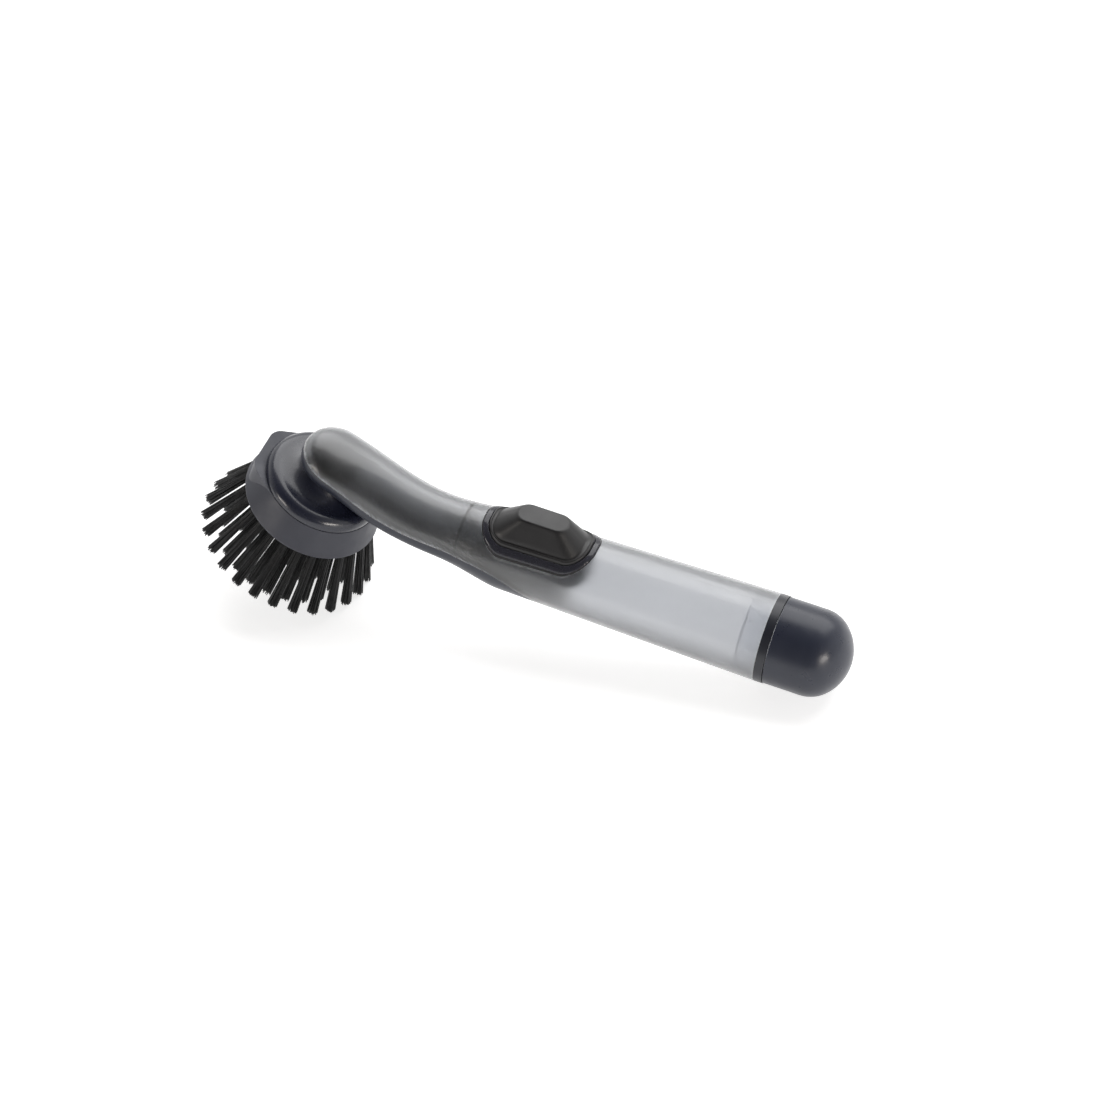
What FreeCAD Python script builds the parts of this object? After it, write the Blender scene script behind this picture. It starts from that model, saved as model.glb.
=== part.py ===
import FreeCAD, Part
import math
import os
import re
import Sketcher

# Dish wand: a round brush head on the raised neck of a hollow handle, which holds washing-up liquid.
# A rubber button pumps the liquid through a soft hose to a slit valve in the middle of the bristles.
# Everything is drawn in the handle's own frame: +X runs along the tube's axis towards the screw cap,
# +Z points to the button, and zero is at the seam at the tube's open end. The pieces of the head are
# drawn in the head's frame, with +Z along its axis and zero in the seam between bell and bristle base.
# At the end the whole wand is laid down as it rests, on its rear tufts and its cap.

Vector = FreeCAD.Vector
Placement = FreeCAD.Placement
Rotation = FreeCAD.Rotation

# Driving dimensions in millimetres, angles in degrees
SIZES = {
    # handle tube
    "seam_radius": 18.5,
    "tube_draft": 1.18,
    "tube_wall": 2.0,
    "tube_length": 112.0,
    # neck and nose
    "neck_length": 77.0,
    "neck_slope": 13.65,
    "head_tilt": 19.2,
    "nose_radius": 15.0,
    "nose_arch": 8.8,
    "cover_depth": 7.4,
    "tail_run": 28.0,
    "bulkhead_setback": 20.0,
    "bulkhead_thickness": 1.2,
    "passage_gap": 0.5,
    # screw collar in the tube's open end, and the band round it
    "band_width": 3.7,
    "band_thickness": 1.6,
    "collar_spigot": 9.0,
    "mouth_radius": 12.4,
    "screw_neck_length": 10.0,
    "thread_root_radius": 14.6,
    "thread_depth": 1.0,
    "thread_pitch": 3.2,
    "thread_foot": 1.6,
    "thread_crest": 0.8,
    "thread_lead_in": 0.8,
    "bond_gap": 0.05,
    # screw cap with its insert, gasket and vent
    "cap_radius": 18.25,
    "cap_gap": 0.3,
    "cap_barrel": 15.5,
    "cap_dome_depth": 16.0,
    "cap_shoulder_radius": 14.3,
    "cap_wall": 2.3,
    "thread_gap": 0.3,
    "gasket_thickness": 1.5,
    "gasket_margin": 0.4,
    "insert_thickness": 2.0,
    "insert_ledge": 1.3,
    "vent_stem_radius": 1.4,
    "vent_knob_radius": 2.2,
    "vent_umbrella_radius": 5.5,
    "vent_umbrella_thickness": 1.0,
    "vent_hole_radius": 0.8,
    "vent_hole_circle": 3.8,
    # button, bezel and pump
    "button_setback": 12.6,
    "bezel_half_length": 24.0,
    "bezel_half_width": 13.6,
    "bezel_corner": 11.5,
    "bezel_ring": 2.4,
    "bezel_proud": 0.5,
    "bezel_recess": 0.9,
    "skirt_ring": 1.0,
    "skirt_proud": 1.2,
    "part_gap": 0.1,
    "button_gap": 0.3,
    "opening_ledge": 0.5,
    "button_top_height": 24.2,
    "button_top_half_length": 10.5,
    "button_top_half_width": 5.3,
    "button_top_corner": 4.6,
    "button_foot_height": 12.5,
    "button_foot_half_length": 25.0,
    "button_foot_half_width": 10.6,
    "button_bottom_height": 7.5,
    "button_skin": 4.5,
    "button_travel": 4.0,
    "chamber_rim": 1.3,
    "chamber_wall": 1.2,
    "well_rear": 12.4,
    "well_front": 20.0,
    "well_half_width": 9.6,
    "well_depth": 7.6,
    "tray_floor": 1.5,
    "port_height": 1.0,
    "port_bore": 1.5,
    "barb_radius": 2.4,
    "barb_length": 8.0,
    "hose_wall": 0.95,
    "hose_bend": 24.0,
    "inlet_radius": 2.2,
    "inlet_drop": 3.9,
    "flap_half_width": 3.6,
    "flap_length": 6.2,
    "flap_thickness": 0.8,
    "flap_pin_radius": 0.7,
    "lug_width": 1.3,
    "running_gap": 0.05,
    # brush base, along the head's axis from the seam
    "head_drop": 17.1,
    "base_top_radius": 25.1,
    "base_rim_radius": 29.4,
    "base_depth": 12.8,
    "base_rim_round": 1.5,
    "base_wall": 2.2,
    "plate_thickness": 5.5,
    "hub_radius": 12.0,
    "hub_bore": 10.05,
    "hub_floor": 4.8,
    "hub_top_gap": 0.4,
    "outlet_radius": 2.6,
    "scraper_reach": 28.6,
    "scraper_half_width": 11.3,
    "scraper_foot": 1.2,
    # bell that carries the brush base
    "seam_gap": 0.3,
    "bell_radius": 24.9,
    "bell_shoulder": 4.6,
    "bell_seat_radius": 10.4,
    "bell_seat_rise": 0.8,
    "bell_wall": 2.2,
    "boss_radius": 8.0,
    "boss_height": 4.6,
    "bell_bore": 5.0,
    "spigot_radius": 9.6,
    "spigot_gap": 0.4,
    "ring_drop": 2.0,
    "ring_section": 0.95,
    "ring_groove_depth": 1.55,
    # valves at the outlet
    "valve_pocket_radius": 7.4,
    "valve_pocket_depth": 4.0,
    "valve_flange": 1.0,
    "valve_cup_radius": 4.2,
    "valve_cup_depth": 1.9,
    "valve_skin": 0.8,
    "slit_width": 0.25,
    "retainer_bore": 4.6,
    "housing_radius": 9.2,
    "housing_height": 8.6,
    "housing_wall": 1.7,
    "housing_crown": 3.0,
    "nozzle_height": 5.2,
    # tufts, whose tips form a dome
    "tuft_base_radius": 1.4,
    "tuft_tip_radius": 2.3,
    "tuft_hole_depth": 3.6,
    "tuft_hole_gap": 0.15,
    "anchor_height": 1.0,
    "anchor_length": 2.4,
    "anchor_thickness": 0.5,
    "outer_count": 26,
    "outer_ring_radius": 26.0,
    "outer_tip_ring_radius": 36.8,
    "outer_tip_depth": 27.3,
    "second_count": 22,
    "second_ring_radius": 19.6,
    "second_tip_ring_radius": 28.0,
    "second_tip_depth": 31.0,
    "third_count": 14,
    "third_ring_radius": 13.0,
    "third_tip_ring_radius": 18.6,
    "third_tip_depth": 32.0,
    "inner_count": 8,
    "inner_ring_radius": 7.2,
    "inner_tip_ring_radius": 10.5,
    "inner_tip_depth": 32.5,
    # how far cutting shapes run past what they cut
    "overrun": 2.0,
}

# Places that follow from the sizes
PLACES = {
    "neck_reach": "tube_length + neck_length",
    "neck_rise": "neck_length * tan(neck_slope * 1deg)",
    "button_station": "tube_length - button_setback",
    "spigot_reach": "base_depth - hub_floor - spigot_gap",
}

# Neck sections between the tube's end and the nose: place along the neck, rise, tilt, then half width,
# arch and depth against an even blend of tube and nose, and how square the lower half is
NECK_SHARES = (
    (0.104, 0.027, 0.00, 0.980, 0.979, 0.942, 2.1),
    (0.195, 0.048, 0.00, 0.934, 0.949, 0.856, 2.2),
    (0.286, 0.070, 0.05, 0.877, 0.945, 0.753, 2.6),
    (0.416, 0.096, 0.15, 0.866, 0.999, 0.662, 3.2),
    (0.584, 0.209, 0.40, 0.897, 1.137, 0.669, 3.4),
    (0.753, 0.465, 0.70, 0.942, 1.242, 0.784, 3.4),
    (0.883, 0.759, 0.90, 0.978, 1.128, 0.902, 3.4),
    (1.000, 1.000, 1.00, 1.000, 1.000, 1.000, 3.4),
)
# Plain round sections of the tube, as shares of its length
TUBE_SHARES = (0.0, 0.3, 0.55, 0.75, 0.88, 0.94, 0.975, 1.0)
# Parting line under the tube: shares of the tail's run and of the tube's radius at its front end
TAIL_SHARES = ((0.07, 0.12), (0.29, 0.3), (0.5, 0.51), (0.66, 0.7), (1.0, 1.05), (1.15, 1.26))
# Front edge of the scraper lip: where its slanting sides meet the base, and its narrowing towards the rim
SCRAPER_SIDE_SHARES = (0.56, 0.83)
SCRAPER_FOOT_SHARE = 0.955
SCRAPER_ROUND_SHARE = 0.35
ROUND_SQUARENESS = 2.0
QUARTER_STEPS = 9
FINE_STEPS = 400
RINGS = ("outer", "second", "third", "inner")
RING_PHASE_SHARES = {"outer": 0.5, "second": 0.0, "third": 0.5, "inner": 0.0}

doc = FreeCAD.newDocument("dish_wand")
sheet = doc.addObject("Spreadsheet::Sheet", "sizes")
cells = dict(SIZES)
cells.update((alias, "=" + formula) for alias, formula in PLACES.items())
for row, (alias, content) in enumerate(cells.items(), start=1):
    sheet.set("A%d" % row, alias.replace("_", " "))
    sheet.set("B%d" % row, str(content))
    sheet.setAlias("B%d" % row, alias)
doc.recompute()


def bound(text):
    """Point each size named in a formula at its cell in the sheet."""
    words = re.split(r"(\W+)", text)
    return "".join("sizes." + word if word in cells else word for word in words)


def value(text):
    """Present value of a formula in the sheet's sizes."""
    return float(sheet.evalExpression(bound(text)))


def bind(item, **texts):
    """Bind properties of an object to formulas in the sheet's sizes."""
    for name, text in texts.items():
        item.setExpression(name, bound(text))


def place(item, x="0", y="0", z="0", turn=None):
    """Set an object's place, bound to the sheet, and its turn."""
    item.Placement = Placement(Vector(value(x), value(y), value(z)), turn or Rotation())
    for name, text in (("x", x), ("y", y), ("z", z)):
        item.setExpression("Placement.Base." + name, bound(text))


ALONG_TUBE = Rotation(Vector(0, 1, 0), -90)
TOWARDS_CAP = Rotation(Vector(0, 1, 0), 90)
ACROSS = Rotation(Vector(1, 0, 0), -90)


def arc_between(start, end, radius, side):
    """Arc from start to end, with its centre to the left (side 1) or right (side -1) of the way there."""
    chord = end - start
    half = chord.Length / 2
    normal = Vector(-chord.y, chord.x, 0).normalize()
    centre = (start + end) / 2 + normal * side * math.sqrt(max(radius**2 - half**2, 0))
    first, last = (start, end) if side > 0 else (end, start)
    angles = [math.atan2(point.y - centre.y, point.x - centre.x) for point in (first, last)]
    return Part.ArcOfCircle(Part.Circle(centre, Vector(0, 0, 1), radius), angles[0], angles[1])


def draw(sketch, corners, arcs=None):
    """Draw a closed outline: corners are pairs of formulas, arcs give radius and side by corner number."""
    arcs = arcs or {}
    points = [Vector(value(across), value(up), 0) for across, up in corners]
    count = len(points)
    ends = []
    for index, start in enumerate(points):
        end = points[(index + 1) % count]
        if index in arcs:
            radius, side = arcs[index]
            sketch.addGeometry(arc_between(start, end, value(radius), side))
            ends.append((1, 2) if side > 0 else (2, 1))
        else:
            sketch.addGeometry(Part.LineSegment(start, end))
            ends.append((1, 2))
    for index in range(count):
        after = (index + 1) % count
        sketch.addConstraint(Sketcher.Constraint("Coincident", index, ends[index][1], after, ends[after][0]))
    for index, corner in enumerate(corners):
        at = ends[index][0]
        for text, kind, axis in zip(corner, ("DistanceX", "DistanceY"), (-2, -1)):
            if text == "0":
                sketch.addConstraint(Sketcher.Constraint("PointOnObject", index, at, axis))
                continue
            number = sketch.addConstraint(Sketcher.Constraint(kind, -1, 1, index, at, value(text)))
            sketch.setExpression("Constraints[%d]" % number, bound(text))
    for index, (radius, side) in arcs.items():
        number = sketch.addConstraint(Sketcher.Constraint("Radius", index, value(radius)))
        sketch.setExpression("Constraints[%d]" % number, bound(radius))
    return sketch


def body_sketch(body, label, corners, arcs=None):
    """Sketch on the body's own upright XZ plane."""
    sketch = body.newObject("Sketcher::SketchObject", label)
    plane = [item for item in body.Origin.OriginFeatures if item.Role == "XZ_Plane"][0]
    sketch.AttachmentSupport = (plane, [""])
    sketch.MapMode = "FlatFace"
    return draw(sketch, corners, arcs)


def revolved(label, corners, arcs=None, axis="V_Axis"):
    """Body turned from an outline round the sketch's upright axis, or its level one for the tube's pieces."""
    body = doc.addObject("PartDesign::Body", label)
    sketch = body_sketch(body, label + "_outline", corners, arcs)
    turn = body.newObject("PartDesign::Revolution", label + "_turn")
    turn.Profile = sketch
    turn.ReferenceAxis = (sketch, [axis])
    turn.Angle = 360
    return body


def add_thread(body, label, corners, turns):
    """Helical ridge round the tube's axis."""
    sketch = body_sketch(body, label + "_profile", corners)
    ridge = body.newObject("PartDesign::AdditiveHelix", label)
    ridge.Profile = sketch
    ridge.ReferenceAxis = (sketch, ["H_Axis"])
    ridge.Mode = "pitch-turns-angle"
    ridge.Turns = turns
    bind(ridge, Pitch="thread_pitch")


def box(label, length, width, height, **spot):
    item = doc.addObject("Part::Box", label)
    bind(item, Length=length, Width=width, Height=height)
    place(item, **spot)
    return item


def cylinder(label, radius, height, **spot):
    item = doc.addObject("Part::Cylinder", label)
    bind(item, Radius=radius, Height=height)
    place(item, **spot)
    return item


def fuse(label, *items):
    result = doc.addObject("Part::MultiFuse", label)
    result.Shapes = list(items)
    return result


def cut(label, base, *tools):
    """Base less each tool in turn; the last cut carries the label."""
    for number, tool in enumerate(tools, start=1):
        result = doc.addObject("Part::Cut", label if number == len(tools) else "%s_cut_%d" % (label, number))
        result.Base = base
        result.Tool = tool
        base = result
    return base


def common(label, base, tool):
    result = doc.addObject("Part::Common", label)
    result.Base = base
    result.Tool = tool
    return result


def solid_feature(label, shape):
    """Piece whose free-form shape is made from the sheet's sizes by Part's own functions."""
    item = doc.addObject("Part::Feature", label)
    item.Shape = shape
    return item


# Formulas that several pieces share
TAPER = "tan(tube_draft * 1deg)"
TUBE_BORE = "seam_radius - tube_wall"
BAND_BORE = "seam_radius - band_thickness"
CAP_START = "band_width + cap_gap"
CAP_BORE = "thread_root_radius + thread_depth + thread_gap"
NECK_END = "band_width + screw_neck_length"
INSERT_START = NECK_END + " + gasket_thickness + 2 * bond_gap"
INSERT_END = INSERT_START + " + insert_thickness"
SKIRT_OUT = "bezel_ring + part_gap"
SKIRT_IN = SKIRT_OUT + " + skirt_ring"
BUTTON_IN = SKIRT_IN + " + button_gap"
OPENING_IN = SKIRT_IN + " - opening_ledge"
TRAY_HALF_LENGTH = "bezel_half_length - (" + OPENING_IN + " - chamber_rim)"
BELL_TOP = "head_drop - cover_depth"
COVER_FLOOR = BELL_TOP + " + tube_wall"
NOZZLE = COVER_FLOOR + " + nozzle_height"


def taper():
    return value(TAPER)


# Handle and neck envelope
def quarter(width, height, squareness):
    """Quarter of a section from its widest point to its crown or keel, in evenly spaced points."""
    fine = []
    for step in range(FINE_STEPS + 1):
        angle = math.radians(90.0) * step / FINE_STEPS
        power = ROUND_SQUARENESS / squareness
        fine.append((max(math.cos(angle), 0.0) ** power * width, math.sin(angle) ** power * height))
    lengths = [0.0]
    for before, after in zip(fine, fine[1:]):
        lengths.append(lengths[-1] + math.dist(before, after))
    even = []
    for step in range(QUARTER_STEPS + 1):
        goal = lengths[-1] * step / QUARTER_STEPS
        even.append(fine[min(range(len(lengths)), key=lambda number: abs(lengths[number] - goal))])
    return even


def section_curve(station, side, inset):
    """Half of a section, from crown to keel on one side."""
    centre, up, width, arch, depth, squareness = station
    over = quarter(width - inset, arch - inset, ROUND_SQUARENESS)
    below = quarter(width - inset, depth - inset, squareness)
    outline = list(reversed(over)) + [(across, -drop) for across, drop in below[1:]]
    curve = Part.BSplineCurve()
    curve.interpolate(Points=[centre + Vector(0, side * across, 0) + up * height for across, height in outline],
                      Parameters=[float(number) for number in range(len(outline))], Scale=False,
                      InitialTangent=Vector(0, side * math.dist(*outline[:2]), 0),
                      FinalTangent=Vector(0, -side * math.dist(*outline[-2:]), 0))
    return curve


def skin(stations, side, inset):
    """Smooth surface through the half sections, leaving the last one square to its plane."""
    rows = [section_curve(station, side, inset) for station in stations]
    along = [0.0]
    for before, after in zip(stations, stations[1:]):
        along.append(along[-1] + (after[0] - before[0]).Length)
    last_up = stations[-1][1]
    tangents = [Vector(-last_up.z, 0, last_up.x)] * len(rows)
    columns = []
    for number in range(1, rows[0].NbPoles + 1):
        column = Part.BSplineCurve()
        column.interpolate(Points=[row.getPole(number) for row in rows], Parameters=along, Scale=False,
                           Tangents=tangents, TangentFlags=[False] * (len(rows) - 1) + [True])
        columns.append(column)
    surface = Part.BSplineSurface()
    surface.buildFromPolesMultsKnots([column.getPoles() for column in columns],
                                     rows[0].getMultiplicities(), columns[0].getMultiplicities(),
                                     rows[0].getKnots(), columns[0].getKnots(), False, False,
                                     rows[0].Degree, columns[0].Degree)
    return surface.toShape()


def tube_station(x):
    radius = value("seam_radius") + taper() * x
    return Vector(x, 0, 0), Vector(0, 0, 1), radius, radius, radius, ROUND_SQUARENESS


def neck_station(shares):
    along, rise, tilt, width, arch, depth, squareness = shares
    start = value("tube_length")
    x = -(start + (value("neck_reach") - start) * along)
    angle = math.radians(value("head_tilt") * tilt)
    tube = value("seam_radius") - taper() * start
    blend = [share * (tube + (value(name) - tube) * along)
             for share, name in ((width, "nose_radius"), (arch, "nose_arch"), (depth, "cover_depth"))]
    centre = Vector(x, 0, value("neck_rise") * rise)
    return (centre, Vector(math.sin(angle), 0, math.cos(angle)), *blend, squareness)


def envelope(inset, tube_start):
    """Outside of tube, neck and nose as one solid, drawn in by the inset."""
    length = value("tube_length")
    stations = [tube_station(tube_start)]
    stations += [tube_station(-length * share) for share in TUBE_SHARES if share or tube_start]
    stations += [neck_station(shares) for shares in NECK_SHARES]
    centre, up = stations[-1][:2]
    nose = section_curve(stations[-1], 1, inset).toShape().revolve(centre, up, 180)
    mouth = Part.Face(Part.Wire([section_curve(stations[0], side, inset).toShape() for side in (1, -1)]))
    shell = Part.makeShell([skin(stations, 1, inset), skin(stations, -1, inset), nose, mouth])
    shell.sewShape()
    return Part.makeSolid(shell)


def below_parting():
    """Everything under the line where the neck's cover meets the shell."""
    start = value("tube_length")
    radius = value("seam_radius") - taper() * start
    stations = [neck_station(shares) for shares in reversed(NECK_SHARES)]
    nose, up = stations[0][:2]
    forward = Vector(-up.z, 0, up.x)
    points = [nose + forward * (value("nose_radius") + value("overrun"))]
    points += [station[0] for station in stations]
    points += [Vector(-start + share * value("tail_run"), 0, -drop * radius) for share, drop in TAIL_SHARES]
    line = Part.BSplineCurve()
    line.interpolate(Points=points)
    floor = -value("seam_radius + neck_rise")
    low_end, low_start = Vector(points[-1].x, 0, floor), Vector(points[0].x, 0, floor)
    sides = [Part.LineSegment(points[-1], low_end), Part.LineSegment(low_end, low_start),
             Part.LineSegment(low_start, points[0])]
    face = Part.Face(Part.Wire([line.toShape()] + [side.toShape() for side in sides]))
    reach = value("seam_radius + overrun")
    face.translate(Vector(0, -reach, 0))
    return face.extrude(Vector(0, 2 * reach, 0))


def oblong_wire(inset, height):
    """Rounded oblong of the bezel drawn in by an inset, at a height over the tube's axis."""
    length = value("bezel_half_length") - inset
    width = value("bezel_half_width") - inset
    corner = value("bezel_corner") - inset
    centre = Vector(-value("button_station"), 0, height)
    edges = []
    diagonal = math.sqrt(0.5)
    for along, across in ((1, -1), (1, 1), (-1, 1), (-1, -1)):
        middle = centre + Vector(along * (length - corner), across * (width - corner), 0)
        ends = [middle + Vector(along * corner, 0, 0), middle + Vector(0, across * corner, 0)]
        if along != across:
            ends.reverse()
        bulge = middle + Vector(along, across, 0) * corner * diagonal
        edges.append(Part.Arc(ends[0], bulge, ends[1]).toShape())
    ring = []
    for number, edge in enumerate(edges):
        after = edges[(number + 1) % len(edges)]
        ring.append(edge)
        ring.append(Part.LineSegment(edge.lastVertex().Point, after.firstVertex().Point).toShape())
    return Part.Wire(ring)


def oblong_prism(inset):
    face = Part.Face(oblong_wire(inset, 0))
    return face.extrude(Vector(0, 0, 2 * value("seam_radius")))


def tube_core(grow):
    """Solid cone of the tube, grown or drawn in over its outside."""
    radius = value("seam_radius") + grow
    length = value("neck_reach")
    return Part.makeCone(radius, radius - taper() * length, length, Vector(0, 0, 0), Vector(-1, 0, 0))


outer = envelope(0.0, 0.0)
inner = envelope(value("tube_wall"), value("overrun"))
snug = envelope(value("tube_wall + part_gap"), 0.0)
under = below_parting()


def make_handle_shell():
    """Translucent tube and upper neck, with the seat for the bezel and a bulkhead in the neck."""
    station = value("tube_length + bulkhead_setback")
    reach = value("seam_radius + neck_rise")
    slab = Part.makeBox(value("bulkhead_thickness"), 2 * reach, 2 * reach, Vector(-station, -reach, -reach))
    way = value("barb_radius + running_gap + hose_wall + passage_gap")
    passage = Part.makeCylinder(way, 2 * reach, Vector(-station - reach, 0, value("port_height")), Vector(1, 0, 0))
    hollow = inner.cut(slab.cut(passage))
    shell = outer.cut(under).cut(hollow)
    seat = oblong_prism(-value("part_gap")).cut(tube_core(-value("bezel_recess")))
    opening = oblong_prism(value(OPENING_IN))
    return solid_feature("handle_shell", shell.cut(seat).cut(opening))


def make_neck_cover():
    """Dark tray that closes the neck from below, with the hole for the bell's boss."""
    nose, up = neck_station(NECK_SHARES[-1])[:2]
    depth = value("cover_depth + overrun")
    hole = Part.makeCylinder(value("boss_radius + part_gap"), depth, nose - up * depth, up)
    return solid_feature("neck_cover", outer.common(under).cut(inner).cut(hole))


# Screw collar, cap and what is in them
def make_filler_collar():
    """Clear ring bonded into the tube's end, with the threaded neck that the cap turns on."""
    spigot_end = TUBE_BORE + " - bond_gap - collar_spigot * " + TAPER
    collar = revolved("filler_collar", [
        ("-collar_spigot", "mouth_radius"),
        ("-collar_spigot", spigot_end),
        ("0", TUBE_BORE + " - bond_gap"),
        ("0", BAND_BORE + " - bond_gap"),
        ("band_width", BAND_BORE + " - bond_gap"),
        ("band_width", "thread_root_radius"),
        (NECK_END, "thread_root_radius"),
        (NECK_END, "mouth_radius"),
    ], axis="H_Axis")
    first = "band_width + thread_lead_in"
    side = "(thread_foot - thread_crest) / 2"
    add_thread(collar, "neck_thread", [
        (first, "thread_root_radius - thread_depth / 2"),
        (first + " + thread_foot", "thread_root_radius - thread_depth / 2"),
        (first + " + " + side + " + thread_crest", "thread_root_radius + thread_depth"),
        (first + " + " + side, "thread_root_radius + thread_depth"),
    ], 2)
    return collar


def make_collar_band():
    """Dark band round the collar, between the tube's end and the cap."""
    return revolved("collar_band", [
        ("bond_gap", BAND_BORE),
        ("bond_gap", "seam_radius"),
        ("band_width", "seam_radius"),
        ("band_width", BAND_BORE),
    ], axis="H_Axis")


def make_end_cap():
    """Domed cap: a barrel, a shoulder arc and a flatter end arc, hollow, with an inner thread."""
    tip = ("((cap_radius - cap_shoulder_radius)^2 + cap_dome_depth^2 - cap_shoulder_radius^2)"
           " / (2 * (cap_dome_depth - cap_shoulder_radius))")
    dome_start = CAP_START + " + cap_barrel"
    dome_end = dome_start + " + cap_dome_depth"
    lean = "((" + tip + ") - cap_dome_depth) / ((" + tip + ") - cap_shoulder_radius)"
    height = "(cap_radius - cap_shoulder_radius) / ((" + tip + ") - cap_shoulder_radius)"
    knee = (dome_end + " - (" + tip + ") * (1 - " + lean + ")", "(" + tip + ") * " + height)
    ledge = CAP_BORE + " - insert_ledge"
    cap = revolved("end_cap", [
        (CAP_START, CAP_BORE),
        (CAP_START, "cap_radius"),
        (dome_start, "cap_radius"),
        knee,
        (dome_end, "0"),
        (dome_end + " - cap_wall", "0"),
        (dome_start + " + cap_dome_depth / 2", ledge + " - cap_wall - cap_wall"),
        (INSERT_END + " + cap_wall", ledge),
        (INSERT_END, ledge),
        (INSERT_END, CAP_BORE),
    ], {2: ("cap_shoulder_radius", -1), 3: (tip, -1)}, axis="H_Axis")
    first = "band_width + thread_lead_in + thread_pitch / 2"
    side = "(thread_foot - thread_crest) / 2"
    add_thread(cap, "cap_thread", [
        (first, CAP_BORE + " + thread_depth / 2"),
        (first + " + " + side, CAP_BORE + " - thread_depth"),
        (first + " + " + side + " + thread_crest", CAP_BORE + " - thread_depth"),
        (first + " + thread_foot", CAP_BORE + " + thread_depth / 2"),
    ], 1.5)
    return cap


def make_cap_gasket():
    """Flat ring between the collar's rim and the cap's insert."""
    start = NECK_END + " + bond_gap"
    return revolved("cap_gasket", [
        (start, "mouth_radius + gasket_margin"),
        (start, CAP_BORE + " - gasket_margin"),
        (start + " + gasket_thickness", CAP_BORE + " - gasket_margin"),
        (start + " + gasket_thickness", "mouth_radius + gasket_margin"),
    ], axis="H_Axis")


def make_cap_insert():
    """Disc that closes the cap's hollow, with a hole for the vent's stem and four air holes round it."""
    disc = cylinder("insert_disc", CAP_BORE + " - bond_gap", "insert_thickness", x=INSERT_START, turn=TOWARDS_CAP)
    tools = [cylinder("stem_hole", "vent_stem_radius + running_gap", "insert_thickness + 2 * overrun",
                      x=INSERT_START + " - overrun", turn=TOWARDS_CAP)]
    for number, (y, z) in enumerate((("1", "0"), ("-1", "0"), ("0", "1"), ("0", "-1"))):
        tools.append(cylinder("air_hole_%d" % number, "vent_hole_radius", "insert_thickness + 2 * overrun",
                              x=INSERT_START + " - overrun", y=y + " * vent_hole_circle",
                              z=z + " * vent_hole_circle", turn=TOWARDS_CAP))
    return cut("cap_insert", disc, *tools)


def make_vent_valve():
    """Rubber umbrella on the liquid's side of the insert, pulled through and held by a knob."""
    seat = INSERT_START + " - bond_gap"
    knob = INSERT_END + " + bond_gap"
    return revolved("vent_valve", [
        (seat + " - vent_umbrella_thickness", "0"),
        (seat + " - vent_umbrella_thickness", "vent_umbrella_radius - vent_umbrella_thickness"),
        (seat, "vent_umbrella_radius"),
        (seat, "vent_stem_radius"),
        (knob, "vent_stem_radius"),
        (knob, "vent_knob_radius"),
        (knob + " + vent_umbrella_thickness", "vent_knob_radius - vent_umbrella_thickness / 2"),
        (knob + " + vent_umbrella_thickness", "0"),
    ], axis="H_Axis")


# Button, bezel and pump
def make_button_bezel():
    """Oblong ring that follows the tube and stands a little proud of it."""
    ring = oblong_prism(0.0).cut(oblong_prism(value("bezel_ring")))
    skin = tube_core(value("bezel_proud")).cut(tube_core(-value("bezel_recess - bond_gap")))
    return solid_feature("button_bezel", ring.common(skin))


def make_button_skirt():
    """Rubber lip between bezel and button."""
    ring = oblong_prism(value(SKIRT_OUT)).cut(oblong_prism(value(SKIRT_IN)))
    skin = tube_core(value("skirt_proud")).cut(tube_core(-value("bezel_recess - bond_gap")))
    return solid_feature("button_skirt", ring.common(skin))


def rounded_sketch(label, half_length, half_width, corner, height):
    """Level rounded oblong centred over the button's place."""
    sketch = doc.addObject("Sketcher::SketchObject", label)
    inner_length = "(" + half_length + ") - (" + corner + ")"
    inner_width = "(" + half_width + ") - (" + corner + ")"
    corners = [
        (inner_length, "-(" + half_width + ")"),
        (half_length, "-(" + inner_width + ")"),
        (half_length, inner_width),
        (inner_length, half_width),
        ("-(" + inner_length + ")", half_width),
        ("-(" + half_length + ")", inner_width),
        ("-(" + half_length + ")", "-(" + inner_width + ")"),
        ("-(" + inner_length + ")", "-(" + half_width + ")"),
    ]
    draw(sketch, corners, {number: (corner, 1) for number in (0, 2, 4, 6)})
    place(sketch, x="-button_station", z=height)
    return sketch


def rounded_prism(label, half_length, half_width, corner, low, high):
    prism = doc.addObject("Part::Extrusion", label)
    prism.Base = rounded_sketch(label + "_outline", half_length, half_width, corner, low)
    prism.DirMode = "Normal"
    prism.Solid = True
    bind(prism, LengthFwd="(" + high + ") - (" + low + ")")
    return prism


def inset_prism(label, inset, low, high):
    """Prism of the bezel's oblong drawn in by an inset."""
    sizes = ["%s - (%s)" % (name, inset) for name in ("bezel_half_length", "bezel_half_width", "bezel_corner")]
    return rounded_prism(label, *sizes, low, high)


def make_push_button():
    """Button with sloping faces and a flat top, upright below the skirt, hollow from below."""
    slope = doc.addObject("Part::Loft", "button_slope")
    slope.Sections = [
        rounded_sketch("button_foot", "button_foot_half_length", "button_foot_half_width",
                       "button_foot_half_width - button_gap", "button_foot_height"),
        rounded_sketch("button_top", "button_top_half_length", "button_top_half_width",
                       "button_top_corner", "button_top_height"),
    ]
    slope.Solid = True
    slope.Ruled = True
    stem = inset_prism("button_stem", BUTTON_IN, "button_bottom_height", "button_top_height")
    crown = common("button_crown", slope, stem)
    foot = inset_prism("button_root", BUTTON_IN, "button_bottom_height", "button_foot_height")
    hollow = rounded_prism("button_hollow", "button_top_half_length", "button_top_half_width",
                           "button_top_corner", "button_bottom_height - overrun",
                           "button_top_height - button_skin")
    return cut("push_button", fuse("button_solid", crown, foot), hollow)


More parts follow.
